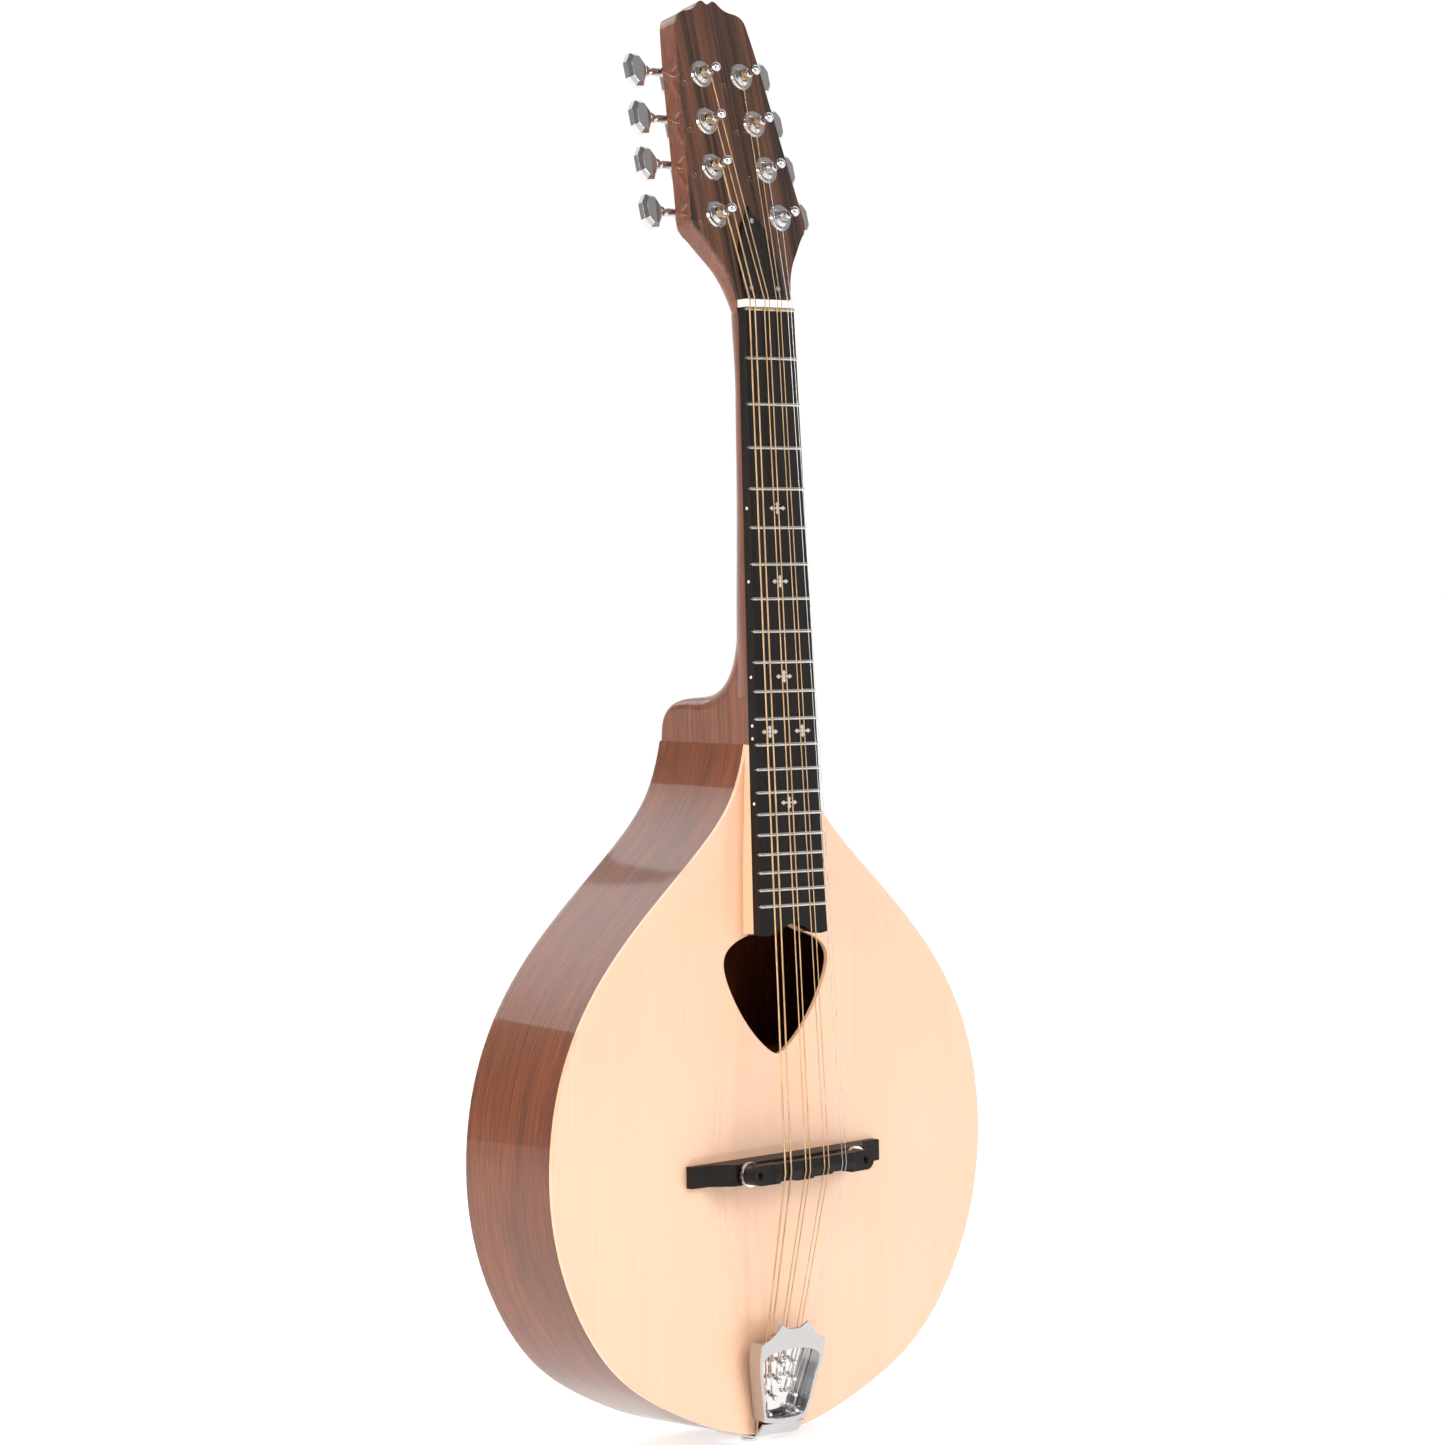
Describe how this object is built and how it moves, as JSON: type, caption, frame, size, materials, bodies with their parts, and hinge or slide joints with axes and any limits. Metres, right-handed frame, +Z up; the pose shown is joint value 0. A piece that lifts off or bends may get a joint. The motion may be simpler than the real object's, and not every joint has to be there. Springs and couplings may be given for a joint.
{
  "type": "bouzouki",
  "caption": "Flat-top teardrop bouzouki with paired strings, adjustable floating bridge, cast tailpiece and geared tuners on a leaning headstock.",
  "frame": {"origin": "centre of the strap button's outer face, the lowest point of the instrument", "axes": "+Z up along the instrument towards the headstock, +X to the right seen from the front, +Y from the soundboard to the back"},
  "size_m": [0.3714, 0.1164, 0.9019],
  "materials": {
    "spruce": "gloss lacquer over pale spruce",
    "mahogany": "gloss lacquer over red-brown mahogany",
    "rosewood": "gloss lacquer over dark striped veneer",
    "ebony": "satin oiled",
    "maple": "satin",
    "inner_wood": "bare",
    "pearl": "polished pearl",
    "white_dot": "polished",
    "bone": "satin",
    "black_plastic": "polished",
    "nickel_silver": "polished",
    "brass": "polished",
    "bronze": "wound wire",
    "steel": "plain wire and rod",
    "chrome": "polished plate"
  },
  "bodies": {
    "instrument": {"soundboard": "spruce", "back_plate": "mahogany", "rim_left": "mahogany", "rim_right": "mahogany", "neck_block": "inner_wood", "tail_block": "inner_wood", "linings_top": "inner_wood", "linings_back": "inner_wood", "top_braces": "inner_wood", "back_braces": "inner_wood", "neck": "mahogany", "headstock_veneer": "rosewood", "fingerboard": "ebony", "fingerboard_wedge": "maple", "position_inlays": "pearl", "side_dots": "white_dot", "frets": "nickel_silver", "zero_fret": "brass", "nut": "bone", "truss_rod": "steel", "truss_rod_cover": "black_plastic", "truss_cover_screws": "chrome", "tuner_plates": "chrome", "tuner_housings": "chrome", "tuner_screws": "chrome", "tuner_washers": "chrome", "tuner_bushings": "chrome", "bridge_base": "ebony", "bridge_studs": "steel", "tailpiece_cover": "chrome", "tailpiece_hook_plate": "chrome", "tailpiece_strap": "chrome", "strap_button": "chrome", "strap_screws": "chrome", "strings_g": "bronze", "strings_d": "bronze", "strings_a": "bronze", "strings_e": "steel"},
    "button_bass_1": {"button_bass_1": "chrome"},
    "post_bass_1": {"post_bass_1": "chrome"},
    "button_bass_2": {"button_bass_2": "chrome"},
    "post_bass_2": {"post_bass_2": "chrome"},
    "button_bass_3": {"button_bass_3": "chrome"},
    "post_bass_3": {"post_bass_3": "chrome"},
    "button_bass_4": {"button_bass_4": "chrome"},
    "post_bass_4": {"post_bass_4": "chrome"},
    "button_treble_1": {"button_treble_1": "chrome"},
    "post_treble_1": {"post_treble_1": "chrome"},
    "button_treble_2": {"button_treble_2": "chrome"},
    "post_treble_2": {"post_treble_2": "chrome"},
    "button_treble_3": {"button_treble_3": "chrome"},
    "post_treble_3": {"post_treble_3": "chrome"},
    "button_treble_4": {"button_treble_4": "chrome"},
    "post_treble_4": {"post_treble_4": "chrome"},
    "saddle": {"bridge_saddle": "ebony"},
    "thumbwheel_bass": {"thumbwheel_bass": "chrome"},
    "thumbwheel_treble": {"thumbwheel_treble": "chrome"},
    "truss_rod_nut": {"truss_rod_nut": "steel"}
  },
  "joints": [
    {"name": "button_bass_1_turn", "type": "hinge", "parent": "instrument", "child": "button_bass_1", "pos_m": [-0.0172, 0.05108, 0.85599], "axis": [1, 0, 0], "continuous": true},
    {"name": "post_bass_1_turn", "type": "hinge", "parent": "instrument", "child": "post_bass_1", "pos_m": [-0.0172, 0.02974, 0.85476], "axis": [0, 0.9622, -0.2724], "continuous": true},
    {"name": "button_bass_2_turn", "type": "hinge", "parent": "instrument", "child": "button_bass_2", "pos_m": [-0.0206, 0.04263, 0.82616], "axis": [1, 0, 0], "continuous": true},
    {"name": "post_bass_2_turn", "type": "hinge", "parent": "instrument", "child": "post_bass_2", "pos_m": [-0.0206, 0.02129, 0.82493], "axis": [0, 0.9622, -0.2724], "continuous": true},
    {"name": "button_bass_3_turn", "type": "hinge", "parent": "instrument", "child": "button_bass_3", "pos_m": [-0.0233, 0.03443, 0.7972], "axis": [1, 0, 0], "continuous": true},
    {"name": "post_bass_3_turn", "type": "hinge", "parent": "instrument", "child": "post_bass_3", "pos_m": [-0.0233, 0.01309, 0.79597], "axis": [0, 0.9622, -0.2724], "continuous": true},
    {"name": "button_bass_4_turn", "type": "hinge", "parent": "instrument", "child": "button_bass_4", "pos_m": [-0.0273, 0.02596, 0.76728], "axis": [1, 0, 0], "continuous": true},
    {"name": "post_bass_4_turn", "type": "hinge", "parent": "instrument", "child": "post_bass_4", "pos_m": [-0.0273, 0.00462, 0.76604], "axis": [0, 0.9622, -0.2724], "continuous": true},
    {"name": "button_treble_1_turn", "type": "hinge", "parent": "instrument", "child": "button_treble_1", "pos_m": [0.0172, 0.05108, 0.85599], "axis": [1, 0, 0], "continuous": true},
    {"name": "post_treble_1_turn", "type": "hinge", "parent": "instrument", "child": "post_treble_1", "pos_m": [0.0172, 0.02974, 0.85476], "axis": [0, 0.9622, -0.2724], "continuous": true},
    {"name": "button_treble_2_turn", "type": "hinge", "parent": "instrument", "child": "button_treble_2", "pos_m": [0.0206, 0.04263, 0.82616], "axis": [1, 0, 0], "continuous": true},
    {"name": "post_treble_2_turn", "type": "hinge", "parent": "instrument", "child": "post_treble_2", "pos_m": [0.0206, 0.02129, 0.82493], "axis": [0, 0.9622, -0.2724], "continuous": true},
    {"name": "button_treble_3_turn", "type": "hinge", "parent": "instrument", "child": "button_treble_3", "pos_m": [0.0233, 0.03443, 0.7972], "axis": [1, 0, 0], "continuous": true},
    {"name": "post_treble_3_turn", "type": "hinge", "parent": "instrument", "child": "post_treble_3", "pos_m": [0.0233, 0.01309, 0.79597], "axis": [0, 0.9622, -0.2724], "continuous": true},
    {"name": "button_treble_4_turn", "type": "hinge", "parent": "instrument", "child": "button_treble_4", "pos_m": [0.0273, 0.02596, 0.76728], "axis": [1, 0, 0], "continuous": true},
    {"name": "post_treble_4_turn", "type": "hinge", "parent": "instrument", "child": "post_treble_4", "pos_m": [0.0273, 0.00462, 0.76604], "axis": [0, 0.9622, -0.2724], "continuous": true},
    {"name": "saddle_height", "type": "slide", "parent": "instrument", "child": "saddle", "axis": [0, 1, 0], "range_m": [0, 0.0015]},
    {"name": "wheel_bass_turn", "type": "hinge", "parent": "saddle", "child": "thumbwheel_bass", "pos_m": [-0.04398, -0.0449, 0.17447], "axis": [0, 1, 0], "range_deg": [0, 675]},
    {"name": "wheel_treble_turn", "type": "hinge", "parent": "saddle", "child": "thumbwheel_treble", "pos_m": [0.04797, -0.0449, 0.17752], "axis": [0, 1, 0], "range_deg": [0, 675]},
    {"name": "truss_nut_turn", "type": "hinge", "parent": "instrument", "child": "truss_rod_nut", "pos_m": [0, -0.00151, 0.71672], "axis": [0, 0.0616, 0.9981], "range_deg": [-90, 90]}
  ],
  "couplings": [
    {"joint": "post_bass_1_turn", "follows": "button_bass_1_turn", "ratio": -0.066667},
    {"joint": "post_bass_2_turn", "follows": "button_bass_2_turn", "ratio": -0.066667},
    {"joint": "post_bass_3_turn", "follows": "button_bass_3_turn", "ratio": -0.066667},
    {"joint": "post_bass_4_turn", "follows": "button_bass_4_turn", "ratio": -0.066667},
    {"joint": "post_treble_1_turn", "follows": "button_treble_1_turn", "ratio": 0.066667},
    {"joint": "post_treble_2_turn", "follows": "button_treble_2_turn", "ratio": 0.066667},
    {"joint": "post_treble_3_turn", "follows": "button_treble_3_turn", "ratio": 0.066667},
    {"joint": "post_treble_4_turn", "follows": "button_treble_4_turn", "ratio": 0.066667},
    {"joint": "saddle_height", "follows": "wheel_bass_turn", "m_per_rad": 0.00012732},
    {"joint": "wheel_treble_turn", "follows": "wheel_bass_turn", "ratio": 1}
  ]
}
